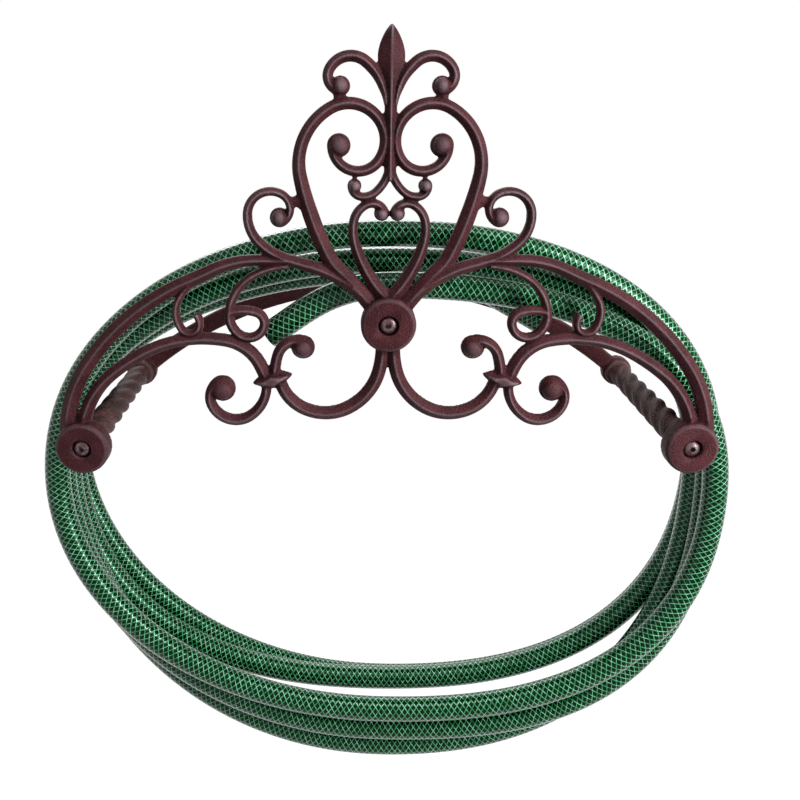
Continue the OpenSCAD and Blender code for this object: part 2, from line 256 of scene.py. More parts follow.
def hoseTree():
    tree = newTree("braided hose", {"Radius": "Float", "Sides": "Int", "Finish": "Material"})
    given = addNode(tree, "NodeGroupInput").outputs
    line = addNode(tree, "GeometryNodeMeshToCurve", {"Mesh": given["Geometry"]})
    alongRoute = addNode(tree, "GeometryNodeSplineParameter")
    keptAlong = addNode(tree, "GeometryNodeCaptureAttribute", {"Geometry": line.outputs["Curve"]})
    keptAlong.capture_items.new("FLOAT", "along")
    tree.links.new(alongRoute.outputs["Length"], keptAlong.inputs["along"])
    corners = addNode(tree, "ShaderNodeMath", {0: given["Sides"], 1: 1}, operation="ADD")
    ring = addNode(tree, "GeometryNodeCurveArc", {
        "Resolution": corners.outputs[0], "Radius": given["Radius"],
        "Start Angle": 0, "Sweep Angle": 2 * math.pi})
    aroundRing = addNode(tree, "GeometryNodeSplineParameter")
    keptAround = addNode(tree, "GeometryNodeCaptureAttribute", {"Geometry": ring.outputs["Curve"]})
    keptAround.capture_items.new("FLOAT", "around")
    tree.links.new(aroundRing.outputs["Factor"], keptAround.inputs["around"])
    tube = addNode(tree, "GeometryNodeCurveToMesh", {
        "Curve": keptAlong.outputs["Geometry"], "Profile Curve": keptAround.outputs["Geometry"]})
    both = addNode(tree, "ShaderNodeCombineXYZ", {
        "X": keptAround.outputs["around"], "Y": keptAlong.outputs["along"]})
    unwrapped = addNode(tree, "GeometryNodeStoreNamedAttribute", {
        "Geometry": tube.outputs["Mesh"], "Name": "UVMap", "Value": both.outputs[0]},
        data_type="FLOAT2", domain="CORNER")
    # the arc's first and last corner lie on each other, so the tube is closed along its seam
    closed = addNode(tree, "GeometryNodeMergeByDistance", {
        "Geometry": unwrapped.outputs["Geometry"], "Distance": 0.02 * mm})
    endTree(tree, closed.outputs["Geometry"], given["Finish"])
    return tree


def openEnds(mesh, route):
    # gives both cut ends a flat ring, a small inner edge and the dark bore behind it
    made = bmesh.new()
    made.from_mesh(mesh)
    rims = [e for e in made.edges if e.is_boundary]
    radius, bore = hose["diameter"] / 2 * mm, hose["bore"] / 2 * mm
    # radius of each new ring and how deep it lies behind the cut
    steps = ((radius * 0.965, -0.3 * mm), (bore * 1.03, -0.3 * mm), (bore, 0.4 * mm),
             (bore, hose["boreDepth"] * mm))
    for end, inner in ((route[0], route[1]), (route[-1], route[-2])):
        centre = Vector(end)
        inwards = (Vector(inner) - centre).normalized()
        edges = [e for e in rims if (e.verts[0].co - centre).length < radius * 1.5]
        for size, depth in steps:
            extruded = bmesh.ops.extrude_edge_only(made, edges=edges)["geom"]
            edges = [g for g in extruded if isinstance(g, bmesh.types.BMEdge) and g.is_boundary]
            for v in {v for e in edges for v in e.verts}:
                out = v.co - centre
                out -= out.dot(inwards) * inwards
                v.co = centre + out.normalized() * size + inwards * depth
        bmesh.ops.holes_fill(made, edges=edges, sides=0)
    bmesh.ops.recalc_face_normals(made, faces=made.faces)
    made.to_mesh(mesh)
    made.free()


def makeHose(skin, core):
    route = hoseRoute()
    piece = newObject("greenHose", route, edges=[(i, i + 1) for i in range(len(route) - 1)])
    addTree(piece, hoseTree(), {
        "Radius": hose["diameter"] / 2 * mm, "Sides": hose["sides"], "Finish": skin})
    mesh = applyAll(piece)
    tubeFaces = len(mesh.polygons)
    openEnds(mesh, route)
    shadeSmooth(mesh, hose["sharpFrom"])
    dress(piece, [skin, core], "green_braided_hose", "hose")
    for face in mesh.polygons:
        face.material_index = 0 if face.index < tubeFaces else 1


def newMaterial(name):
    made = bpy.data.materials.new(name)
    made.use_nodes = True
    tree = made.node_tree
    tree.nodes.clear()
    surface = addNode(tree, "ShaderNodeBsdfPrincipled")
    addNode(tree, "ShaderNodeOutputMaterial", {"Surface": surface.outputs[0]})
    return made, tree, surface


# Sizes of the rust patches, the sand grain and the pits, depth of the relief, how much the raised parts are
# worn and handled, with a painted highlight and sheen on them, and how much dust the grain holds, from 0 to 1,
# and the colours
ironLooks = {
    "front": {
        "patch": 14, "grain": 0.8, "pit": 1.2, "bump": 0.5, "wearAndHighlight": 0.15, "handledAndSheen": 0.5, "dust": 0.3,
        "deep": "#371518", "rust": "#4a2226", "speck": "#75565c", "rubbedAndHighlight": "#8e7c84", "hollowAndShade": "#100708",
    },
    "wall": {
        "patch": 18, "grain": 1.2, "pit": 1.6, "bump": 0.8, "wearAndHighlight": 0.35, "handledAndSheen": 0.1, "dust": 0.4,
        "deep": "#401d20", "rust": "#50282b", "speck": "#6a4649", "rubbedAndHighlight": "#705557", "hollowAndShade": "#180809",
    },
    "rope": {
        "patch": 12, "grain": 1, "pit": 1.4, "bump": 0.7, "wearAndHighlight": 0.8, "handledAndSheen": 0, "dust": 0.45,
        "deep": "#402322", "rust": "#553635", "speck": "#7d6663", "rubbedAndHighlight": "#a89391", "hollowAndShade": "#100605",
    },
}


def castIron(name, look):
    # sand-cast iron with an antique rust finish: sandy grain, rubbed grey ridges with a painted highlight, dark
    # grain and painted shade in the hollows
    made, tree, surface = newMaterial(name)
    place = addNode(tree, "ShaderNodeTexCoord").outputs["Object"]
    patches = addNode(tree, "ShaderNodeTexNoise", {
        "Vector": place, "Scale": 1 / (look["patch"] * mm), "Detail": 4}).outputs["Fac"]
    grain = addNode(tree, "ShaderNodeTexNoise", {
        "Vector": place, "Scale": 1 / (look["grain"] * mm), "Detail": 3, "Roughness": 0.65}).outputs["Fac"]
    pits = addNode(tree, "ShaderNodeTexVoronoi", {"Vector": place, "Scale": 1 / (look["pit"] * mm)})
    bulge = addNode(tree, "ShaderNodeAttribute", attribute_name="bulge").outputs["Fac"]
    ridge = addNode(tree, "ShaderNodeAttribute", attribute_name="ridge").outputs["Fac"]
    # what each layer follows, between which of its values it comes in, how much of it shows, its colour
    layers = (
        (patches, 0.38, 0.62, 1, "rust"),  # broad patches of redder rust
        (grain, 0.5, 0.66, look["dust"], "speck"),  # sand grains catch a paler dust
        (grain, 0.48, 0.34, 0.6, "hollowAndShade"),  # the hollows between them stay near black
        (bulge, 0.03, 0.08, look["handledAndSheen"], "rubbedAndHighlight"),  # narrow scrolls are rubbed grey, partly a painted sheen of their lit faces
        (ridge, 0.04, 0.2, look["wearAndHighlight"], "rubbedAndHighlight"),  # ridges are rubbed paler too, partly a painted highlight along them
        (ridge, -0.02, -0.14, 0.85, "hollowAndShade"),  # painted shade: inner corners and creases are darkened
    )
    shown = colour(look["deep"])
    for follows, start, end, most, code in layers:
        share = addNode(tree, "ShaderNodeMapRange", {"Value": follows, 1: start, 2: end, 3: 0, 4: most})
        shown = addNode(tree, "ShaderNodeMix", {
            "Factor": share.outputs[0], 6: shown, 7: colour(look[code])}, data_type="RGBA").outputs[2]
    tree.links.new(shown, surface.inputs["Base Color"])
    rough = addNode(tree, "ShaderNodeMapRange", {"Value": grain, 1: 0.35, 2: 0.65, 3: 0.36, 4: 0.62})
    tree.links.new(rough.outputs[0], surface.inputs["Roughness"])
    height = addNode(tree, "ShaderNodeMath", {
        0: grain, 1: 0.8, 2: pits.outputs["Distance"]}, operation="MULTIPLY_ADD")
    bump = addNode(tree, "ShaderNodeBump", {
        "Strength": look["bump"], "Distance": 0.5 * mm, "Height": height.outputs[0]})
    tree.links.new(bump.outputs[0], surface.inputs["Normal"])
    surface.inputs["Specular IOR Level"].default_value = 0.1
    return made


screwLook = {"steel": "#6a585d", "tarnish": "#43262a", "patch": 2.2}


def tarnishedSteel():
    # zinc-plated screw steel gone dull outdoors: metallic, with brown-grey tarnish in patches
    made, tree, surface = newMaterial("tarnished screw steel")
    place = addNode(tree, "ShaderNodeTexCoord").outputs["Object"]
    patches = addNode(tree, "ShaderNodeTexNoise", {
        "Vector": place, "Scale": 1 / (screwLook["patch"] * mm), "Detail": 5}).outputs["Fac"]
    share = addNode(tree, "ShaderNodeMapRange", {"Value": patches, 1: 0.4, 2: 0.62})
    mixed = addNode(tree, "ShaderNodeMix", {
        "Factor": share.outputs[0], 6: colour(screwLook["steel"]),
        7: colour(screwLook["tarnish"])}, data_type="RGBA")
    tree.links.new(mixed.outputs[2], surface.inputs["Base Color"])
    rough = addNode(tree, "ShaderNodeMapRange", {"Value": patches, 1: 0.35, 2: 0.65, 3: 0.25, 4: 0.5})
    tree.links.new(rough.outputs[0], surface.inputs["Roughness"])
    surface.inputs["Metallic"].default_value = 0.6
    return made


braid = {
    "threads": 9,  # threads that go round one way
    "lead": 40,  # along the hose for one time round, the 55 degree lay that braided hose has
    "threadWidth": 0.52,
    "threadEdge": (0.4, 1.15),  # where a thread starts to fade and where it ends, in half widths
    "glowEdge": (0.8, 2.2),  # the same for the green light that it spreads in the skin
    "inner": 0.7,  # how much of one thread direction's colour shows, a painted shade that makes it dimmer than the other direction
    "cover": 0.9,  # how much of its colour a thread shows through the skin
    "drift": 3.846,  # length of the paler stretches
    "relief": 0.04,
    "core": "#000b02",
    "coreLight": "#034a1b",
    "thread": "#219050",
    "threadLight": "#8ff0bc",
    "shine": "#4ec088",
    "coatBetween": 0.12,  # gloss of the skin between the threads
}


def braidedHose():
    # clear PVC skin over a near-black green core, with two crossing layers of pale yarn
    made, tree, surface = newMaterial("braided garden hose")
    uv = addNode(tree, "ShaderNodeUVMap", uv_map="UVMap")
    parts = addNode(tree, "ShaderNodeSeparateXYZ", {0: uv.outputs[0]})
    around = addNode(tree, "ShaderNodeMath", {0: parts.outputs["X"], 1: braid["threads"]}, operation="MULTIPLY")
    spacing = braid["lead"] * mm / braid["threads"]
    along = addNode(tree, "ShaderNodeMath", {0: parts.outputs["Y"], 1: 1 / spacing}, operation="MULTIPLY")
    angle = math.atan2(math.pi * hose["diameter"], braid["lead"])
    half = braid["threadWidth"] * mm / (spacing * math.sin(angle))  # of the gap between two threads
    layers = []
    for sign in ("ADD", "SUBTRACT"):
        phase = addNode(tree, "ShaderNodeMath", {0: along.outputs[0], 1: around.outputs[0]}, operation=sign)
        # 0 in the middle of a thread, 1 half way to the next one
        doubled = addNode(tree, "ShaderNodeMath", {0: phase.outputs[0], 1: 2}, operation="MULTIPLY")
        cycle = addNode(tree, "ShaderNodeMath", {0: doubled.outputs[0], 1: 1}, operation="PINGPONG")
        spans = [[half * edge for edge in braid[name]] for name in ("threadEdge", "glowEdge")] + [[0, 1]]
        layers.append([addNode(tree, "ShaderNodeMapRange", {
            "Value": cycle.outputs[0], 1: start, 2: end, 3: 1, 4: 0},
            interpolation_type="SMOOTHSTEP").outputs[0] for start, end in spans])
    (shadedDirectionYarn, innerGlow, innerSwell), (otherDirectionYarn, outerGlow, outerSwell) = layers
    # painted shade: the threads of one direction are dimmed against those of the other
    under = addNode(tree, "ShaderNodeMath", {0: shadedDirectionYarn, 1: braid["inner"]}, operation="MULTIPLY")
    yarns = addNode(tree, "ShaderNodeMath", {0: under.outputs[0], 1: otherDirectionYarn}, operation="MAXIMUM")
    glows = addNode(tree, "ShaderNodeMath", {0: innerGlow, 1: outerGlow}, operation="MAXIMUM")
    core = addNode(tree, "ShaderNodeMix", {
        "Factor": glows.outputs[0], 6: colour(braid["core"]), 7: colour(braid["coreLight"])}, data_type="RGBA")
    place = addNode(tree, "ShaderNodeTexCoord").outputs["Object"]
    drift = addNode(tree, "ShaderNodeTexNoise", {
        "Vector": place, "Scale": 1 / (braid["drift"] * mm), "Detail": 3})
    tint = addNode(tree, "ShaderNodeMapRange", {"Value": drift.outputs["Fac"], 1: 0.4, 2: 0.62})
    thread = addNode(tree, "ShaderNodeMix", {
        "Factor": tint.outputs[0], 6: colour(braid["thread"]),
        7: colour(braid["threadLight"])}, data_type="RGBA")
    share = addNode(tree, "ShaderNodeMath", {0: yarns.outputs[0], 1: braid["cover"]}, operation="MULTIPLY")
    shown = addNode(tree, "ShaderNodeMix", {
        "Factor": share.outputs[0], 6: core.outputs[2], 7: thread.outputs[2]}, data_type="RGBA")
    tree.links.new(shown.outputs[2], surface.inputs["Base Color"])
    # the clear skin stands up a little over the yarns and shines most there
    swells = addNode(tree, "ShaderNodeMath", {0: innerSwell, 1: outerSwell}, operation="ADD")
    relief = addNode(tree, "ShaderNodeBump", {
        "Strength": 1, "Distance": braid["relief"] * mm, "Height": swells.outputs[0]})
    tree.links.new(relief.outputs[0], surface.inputs["Normal"])
    tree.links.new(relief.outputs[0], surface.inputs["Coat Normal"])
    gloss = addNode(tree, "ShaderNodeMapRange", {"Value": glows.outputs[0], 3: braid["coatBetween"], 4: 1})
    tree.links.new(gloss.outputs[0], surface.inputs["Coat Weight"])
    surface.inputs["Roughness"].default_value = 0.24
    surface.inputs["Specular IOR Level"].default_value = 0.35
    surface.inputs["Specular Tint"].default_value = colour(braid["shine"])
    surface.inputs["Coat Roughness"].default_value = 0.2
    return made


cutLook = {"dark": "#08210f", "pale": "#1d5a33", "cloud": 1.111}


def hoseCore():
    # the cut PVC wall and bore: matt dark green, cloudy in section
    made, tree, surface = newMaterial("cut hose wall")
    place = addNode(tree, "ShaderNodeTexCoord").outputs["Object"]
    cloud = addNode(tree, "ShaderNodeTexNoise", {
        "Vector": place, "Scale": 1 / (cutLook["cloud"] * mm), "Detail": 3})
    mixed = addNode(tree, "ShaderNodeMix", {
        "Factor": cloud.outputs["Fac"], 6: colour(cutLook["dark"]),
        7: colour(cutLook["pale"])}, data_type="RGBA")
    tree.links.new(mixed.outputs[2], surface.inputs["Base Color"])
    surface.inputs["Roughness"].default_value = 0.55
    return made


makeHose(braidedHose(), hoseCore())
print("hose wound")


scrollwork = {
    "thick": 8,
    "side": 4,  # height of a scroll's side walls
    "turnStep": 13,  # degrees between the CAD part's sections
    "runStep": 17,
    "fine": 6,  # sections here for each of those
    "wrap": 125,  # degrees that a scroll runs on round its ball
    "fadeWidth": 0.55,  # how much of its width it loses there
    "voxel": 0.7,
    "smoothing": 1,
    "ridgePasses": 2,
    "triangles": 192000,
    "sharpFrom": 55,
    # The scrolls of the left half: start (x, z, heading), arcs (radius, turn), widths (way along, width),
    # height of the ridge, and radius of the ball at the end, or 0
    "scrolls": {
        "heart": ((-9.4, 9.2, 127.6),
                  ((600, 0.7), (205, 7.7), (34, -19.7), (200, -14.8), (38.9, -71.7), (22.9, -88.1),
                   (21.1, -65.1), (16, -145.5)),
                  ((0, 10.1), (0.3, 10.1), (0.45, 8), (0.7, 7.4), (1, 6.3)), 8, 7.3),
        "crest": ((-3, 137, 90.6),
                  ((32.3, 51.7), (14.6, 98.9), (8.4, 58.3), (9, 47.7)),
                  ((0, 2.2), (0.15, 5.8), (0.35, 7.2), (1, 6.1)), 8, 6),
        "drop": ((-1, 97, -105),
                 ((25, -34), (12, -48.3), (6.7, -83.5)),
                 ((0, 5.4), (1, 5.1)), 8, 4.4),
        "inner": ((-0.5, 15.5, 131),
                  ((300, 1), (81, -26), (35, -23), (15, -54.2), (8.5, -98.4)),
                  ((0, 9.3), (0.35, 8), (0.6, 5.9), (1, 5.4)), 8, 4.8),
        "shoulder": ((-9.1, 10, 130.5),
                     ((400, 0.6), (79.6, 33.2), (900, -0.9), (45, -28), (23.7, -50.6), (14.8, -110.8),
                      (10.3, -121.7)),
                     ((0, 9), (0.35, 8), (0.6, 6.1), (1, 4.8)), 8, 6.2),
        "arch": ((-61, 41, 176),
                 ((245, 6), (68, 24), (320, -3), (165, 32), (95, 36)),
                 ((0, 5.9), (0.3, 9.2), (1, 10.8)), 8, 0),
        "rail": ((-81, -37.5, 110),
                 ((95, 6), (30, 54), (85, 38), (140, 11), (63, 48)),
                 ((0, 9), (0.4, 7.7), (1, 9.4)), 8, 0),
        "yoke": ((-72, -38, -81),
                 ((29, 56), (33, 53), (41, 48), (69, 15)),
                 ((0, 8.1), (0.5, 9), (1, 9)), 8, 0),
        "lowCurl": ((-81, -40, -83),
                    ((26, -64), (17.2, -102.2), (14, -71.2)),
                    ((0, 6.4), (0.5, 7.4), (1, 6.4)), 8, 8.8),
        "highCurl": ((-75, -33.5, 86),
                     ((48.9, -13.8), (14.6, -88.6)),
                     ((0, 7.4), (1, 7)), 8, 7.8),
        "ring": ((-64.5, 38, -177),
                 ((52, 27), (32, 57), (15.5, 54), (10.5, 121), (7.5, 80), (28, 35)),
                 ((0, 4.6), (0.5, 6.2), (1, 6)), 7.04, 0),
        "sprig": ((-114.5, 34, -161),
                  ((39, 42), (20, 61), (6.5, 135), (9.5, 51)),
                  ((0, 4.6), (1, 5.1)), 7.04, 0),
    },
    # The webs that join the crest and shoulder scrolls to the heart: x, z and width at both ends
    "webs": (((-33.2, 135.5, 10), (-31.8, 143, 7)), ((-56, 79, 12), (-64.5, 78.5, 8))),
    "webSteps": 8,
    "webWaist": 0.2,  # how much narrower a web is half way, as a share of its width, on each side
    "knot": {"place": (-76.7, -38.5), "tilt": 13, "length": 27, "width": 13, "corners": 32},
    # The leaf and its stem from the tip down: distance down and width, in widths of the leaf
    "leaf": {
        "tip": 183,
        "foot": 92,
        "width": 16.5,
        "ridge": 8.8,
        "sections": 70,
        "outline": ((0, 0.1), (0.18, 0.38), (0.44, 0.67), (0.75, 0.9), (1.05, 1), (1.45, 0.93),
                    (1.8, 0.72), (2.15, 0.5), (3, 0.46)),
    },
    "boss": {"diameter": 36, "face": 32, "hole": 6.4, "recess": 13.5, "softEdge": 0.3},
}


def travel(start, arcs):
    # points x, z, heading and way along tangent arcs: the CAD part's stations and finer ones between
    x, z, heading = start
    run, way = [], 0
    for radius, turn in arcs:
        side, arc = math.copysign(1, turn), radius * math.radians(abs(turn))
        stations = max(math.ceil(abs(turn) / scrollwork["turnStep"]), math.ceil(arc / scrollwork["runStep"]))
        stations *= scrollwork["fine"]
        cx = x - side * radius * math.sin(math.radians(heading))
        cz = z + side * radius * math.cos(math.radians(heading))
        for k in range(stations):
            t = math.radians(heading + turn * k / stations)
            run.append((cx + side * radius * math.sin(t), cz - side * radius * math.cos(t), t,
                        way + arc * k / stations))
        heading += turn
        way += arc
        x = cx + side * radius * math.sin(math.radians(heading))
        z = cz - side * radius * math.cos(math.radians(heading))
    return run + [(x, z, math.radians(heading), way)]


def loft(rings):
    # points and faces of a closed solid through rings of the same number of points
    n, m = len(rings), len(rings[0])
    points = [p for ring in rings for p in ring]
    faces = [(i * m + j, (i + 1) * m + j, (i + 1) * m + (j + 1) % m, i * m + (j + 1) % m)
             for i in range(n - 1) for j in range(m)]
    return points, faces + [tuple(range(m)), tuple(reversed(range((n - 1) * m, n * m)))]


def lathe(place, profile, segments, base):
    # a solid of revolution that stands out from y = -base towards -Y, its profile from axis to axis
    x, z = place
    rings = []
    for r, h in profile:
        r = max(r, 0.01)  # a point on the axis keeps a tiny ring
        rings.append([(x + r * math.cos(a), -base - h, z + r * math.sin(a))
                      for a in (2 * math.pi * k / segments for k in range(segments))])
    return loft(rings)


def sectionPoints(ridge):
    # half-widths and heights of a scroll's section: side walls, a small bevel and two faces to the ridge
    side = scrollwork["side"]
    return [(-1, 0), (-1, side * 0.94), (-0.95, side * 1.06), (-0.06, ridge * 0.985), (0, ridge),
            (0.06, ridge * 0.985), (0.95, side * 1.06), (1, side * 0.94), (1, 0)]


def ballProfile(r):
    # a low disc and a dome on it, with a groove between
    side, top = scrollwork["side"], scrollwork["thick"] * 1.28
    foot = side * 0.9
    dome = [(r * 0.84 * math.cos(a), foot + (top - foot) * math.sin(a))
            for a in (math.radians(k * 10) for k in range(10))]
    return [(0, 0), (r, 0), (r, foot), (r * 0.94, side)] + dome


def scrollSolids(start, arcs, widths, ridge, ball):
    run = travel(start, arcs)
    endX, endZ, endTurn, total = run[-1]
    lastWidth, turning = widths[-1][1], math.copysign(1, arcs[-1][1])
    if ball:  # the scroll runs on round its ball and fades
        run = travel(start, arcs + ((ball - lastWidth / 2, turning * scrollwork["wrap"]),))
    rings = []
    for x, z, t, way in run:
        w = np.interp(way / total, [p[0] for p in widths], [p[1] for p in widths]) / 2
        fade = max(0, way - total) / max(run[-1][3] - total, 1e-6)
        w *= 1 - scrollwork["fadeWidth"] * fade
        top = ridge - (ridge - scrollwork["side"] * 1.1) * fade ** 1.5
        if fade:  # the outer edge stays on the ball's edge
            push = turning * (w - lastWidth / 2)
            x, z = x - push * math.sin(t), z + push * math.cos(t)
        rings.append([(x - c * w * math.sin(t), -layout["plateBack"] - h, z + c * w * math.cos(t))
                      for c, h in sectionPoints(top)])
    solids = [loft(rings)]
    if ball:
        inward = turning * (ball - lastWidth / 2)
        place = (endX - inward * math.sin(endTurn), endZ + inward * math.cos(endTurn))
        solids.append(lathe(place, ballProfile(ball), 40, layout["plateBack"]))
    return solids


def smoothCurve(xs, ys, at):
    # monotone cubic values, so that the outline has no corners
    xs, ys = np.array(xs, float), np.array(ys, float)
    steps, slopes = np.diff(xs), np.diff(ys) / np.diff(xs)
    before, after = slopes[:-1], slopes[1:]
    inner = np.where(before * after > 0, 2 * before * after / (before + after + 1e-12), 0)
    tangents = np.concatenate([[slopes[0]], inner, [slopes[-1]]])
    k = np.clip(np.searchsorted(xs, at, side="right") - 1, 0, len(xs) - 2)
    t = (at - xs[k]) / steps[k]
    return ((2 * t**3 - 3 * t**2 + 1) * ys[k] + (t**3 - 2 * t**2 + t) * steps[k] * tangents[k]
            + (-2 * t**3 + 3 * t**2) * ys[k + 1] + (t**3 - t**2) * steps[k] * tangents[k + 1])


def leafSolid():
    leaf = scrollwork["leaf"]
    tip, foot, width = leaf["tip"], leaf["foot"], leaf["width"]
    stations = [(foot, leaf["outline"][-1][1])]
    stations += [(tip - width * down, share) for down, share in leaf["outline"]]
    stations.sort()
    heights = tip - (tip - foot) * np.linspace(1, 0, leaf["sections"]) ** 1.5  # closer together at the tip
    shares = smoothCurve([p[0] for p in stations], [p[1] for p in stations], heights)
    section = sectionPoints(leaf["ridge"])
    return loft([[(-c * width * share / 2, -layout["plateBack"] - h, z) for c, h in section]
                 for z, share in zip(heights, shares)])


def webSolid(start, end):
    turn = math.atan2(end[1] - start[1], end[0] - start[0])
    side, steps, rings = scrollwork["side"], scrollwork["webSteps"], []
    for k in range(steps + 1):
        x, z, width = [a + (b - a) * k / steps for a, b in zip(start, end)]
        half = width * (0.5 - scrollwork["webWaist"] * math.sin(math.pi * k / steps))
        rings.append([(x - v * math.sin(turn), -layout["plateBack"] - h, z + v * math.cos(turn))
                      for v, h in ((-half, 0), (-half, side), (0, side * 1.3), (half, side), (half, 0))])
    return loft(rings)


def knotSolid():
    # a lozenge with a raised waist, tilted on the plate
    knot, side, top = scrollwork["knot"], scrollwork["side"], scrollwork["thick"] * 1.4
    x, z = knot["place"]
    tilt, rings = math.radians(knot["tilt"]), []
    for share, h in ((1, 0), (1, side), (0.86, side * 1.35), (0.55, top * 0.93), (0.3, top)):
        ring = []
        for k in range(knot["corners"]):
            a = 2 * math.pi * k / knot["corners"]
            c, s = math.cos(a), math.sin(a)
            u = knot["length"] / 2 * share * math.copysign(abs(c) ** 1.6, c)
            v = knot["width"] / 2 * (share if share > 0.9 else share * 0.8) * math.copysign(abs(s) ** 1.6, s)
            ring.append((x + u * math.cos(tilt) - v * math.sin(tilt), -layout["plateBack"] - h,
                         z + u * math.sin(tilt) + v * math.cos(tilt)))
        rings.append(ring)
    return loft(rings)


def mirrored(solids):
    return [([(-x, y, z) for x, y, z in points], faces) for points, faces in solids]


def joinSolids(name, solids):
    # one mesh object of several closed solids, each with its normals outwards
    made = bmesh.new()
    for points, faces in solids:
        verts = [made.verts.new([c * mm for c in p]) for p in points]
        for face in faces:
            made.faces.new([verts[i] for i in face])
    bmesh.ops.recalc_face_normals(made, faces=made.faces)
    piece = newObject(name, [])
    made.to_mesh(piece.data)
    made.free()
    return piece


def drill(piece, cutters):
    # takes closed solids out of the piece
    tool = joinSolids("cutter", cutters)
    addModifier(piece, "BOOLEAN", object=tool, operation="DIFFERENCE", solver="EXACT")
    applyAll(piece)
    bpy.data.objects.remove(tool)


def markRidges(mesh, passes, worn=(-2, -1)):
    # stores how far each point stands out from its neighbours: ridges above 0, hollows below, which the iron
    # colours use for wear with a painted highlight on ridges and painted shade in hollows. Ridges lower than
    # the first of the two heights given count little, and those above the second in full
    n = len(mesh.vertices)
    places, normals = np.empty(n * 3, np.float32), np.empty(n * 3, np.float32)
    mesh.vertices.foreach_get("co", places)
    mesh.vertices.foreach_get("normal", normals)
    ends = np.empty(len(mesh.edges) * 2, np.int32)
    mesh.edges.foreach_get("vertices", ends)
    places, normals, ends = places.reshape(-1, 3), normals.reshape(-1, 3), ends.reshape(-1, 2)
    a, b = ends[:, 0], ends[:, 1]
    reach = places[b] - places[a]
    size = np.linalg.norm(reach, axis=1) + 1e-9
    count = np.bincount(a, minlength=n) + np.bincount(b, minlength=n) + 1e-9
    value = (np.bincount(a, -np.einsum("ij,ij->i", reach, normals[a]) / size, n)
             + np.bincount(b, np.einsum("ij,ij->i", reach, normals[b]) / size, n)) / count
    reached = np.clip((-places[:, 1] / mm - worn[0]) / (worn[1] - worn[0]), 0.15, 1)
    for name, rounds in (("ridge", passes), ("bulge", passes * 9)):
        for _ in range(rounds):
            value = (value + (np.bincount(a, value[b], n) + np.bincount(b, value[a], n)) / count) / 2
        layer = mesh.attributes.new(name, "FLOAT", "POINT")
        layer.data.foreach_set("value", np.where(value > 0, value * reached, value).astype(np.float32))


def castSurface(piece, cast, **marks):
    # melts overlapping solids into one casting with soft corners
    addModifier(piece, "REMESH", mode="VOXEL", voxel_size=cast["voxel"] * mm)
    addModifier(piece, "SMOOTH", factor=0.5, iterations=cast["smoothing"])
    mesh = applyAll(piece)
    markRidges(mesh, cast["ridgePasses"], **marks)
    count = sum(len(p.vertices) - 2 for p in mesh.polygons)
    if count > cast["triangles"]:
        addModifier(piece, "DECIMATE", ratio=cast["triangles"] / count)
        applyAll(piece)


def makeFrontPlate(material):
    half = [solid for scroll in scrollwork["scrolls"].values() for solid in scrollSolids(*scroll)]
    half += [webSolid(*web) for web in scrollwork["webs"]] + [knotSolid()]
    boss, base, depth = scrollwork["boss"], layout["plateBack"], layout["bossDepth"]
    outer, face, soft = boss["diameter"] / 2, boss["face"] / 2, boss["softEdge"]
    profile = [(0, 0), (outer, 0), (outer, depth - outer + face), (face + soft, depth - soft / 2),
               (face - soft, depth), (0, depth)]
    bosses = [lathe(p, profile, 96, base) for p in posts.values()]
    piece = joinSolids("scrolledFrontPlate", half + mirrored(half) + [leafSolid()] + bosses)
    # the low outer edges of the scrolls get less wear and painted highlight than what stands out
    castSurface(piece, scrollwork, worn=(base + scrollwork["side"], base + scrollwork["thick"] * 0.85))
    hole, recess, seat = boss["hole"] / 2, boss["recess"] / 2, depth - layout["recessDepth"]
    bore = [(0, -1), (hole, -1), (hole, seat), (recess, seat), (recess, depth - 0.2),
            (recess + soft, depth + 0.1), (recess + soft, depth + 1), (0, depth + 1)]
    drill(piece, [lathe(p, bore, 64, base) for p in posts.values()])
    shadeSmooth(piece.data, scrollwork["sharpFrom"])
    dress(piece, [material], "antique_rust_iron", "front_plate")


makeFrontPlate(castIron("antique rust cast iron", ironLooks["front"]))
print("front plate cast")


wallBar = {"voxel": 0.8, "smoothing": 2, "ridgePasses": 2, "triangles": 150000, "sharpFrom": 60}


def makeWallPlate(material):
    # a merged copy of the CAD node, with soft corners
    made = bmesh.new()
    made.from_mesh(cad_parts["wall_plate"].data)
    bmesh.ops.remove_doubles(made, verts=made.verts, dist=0.01 * mm)
    piece = newObject("wallBar", [])
    made.to_mesh(piece.data)
    made.free()
    castSurface(piece, wallBar)
    shadeSmooth(piece.data, wallBar["sharpFrom"])
    dress(piece, [material], "dark_rust_iron", "wall_plate")


makeWallPlate(castIron("dark rust cast iron", ironLooks["wall"]))
print("wall plate cast")


post = {
    "diameter": 21,
    "tail": 17.5,  # diameter at the wall end
    "strands": 3,
    "twists": 2.5,
    "groove": 1.8,
    "yarns": 5,  # fine cords in each strand
    "yarnGroove": 0.1,
    "collar": 22,
    "collarLength": 6,
    # a collar's radius from its outer end inwards: way along and share
    "collarOutline": ((0, 0.97), (0.06, 1), (0.7, 1), (0.93, 0.93), (1, 0.82)),
    "collarRings": 24,
    "collarSides": 72,
    "rings": 210,
    "sides": 120,
    "ridgePasses": 1,
    "sharpFrom": 50,
}


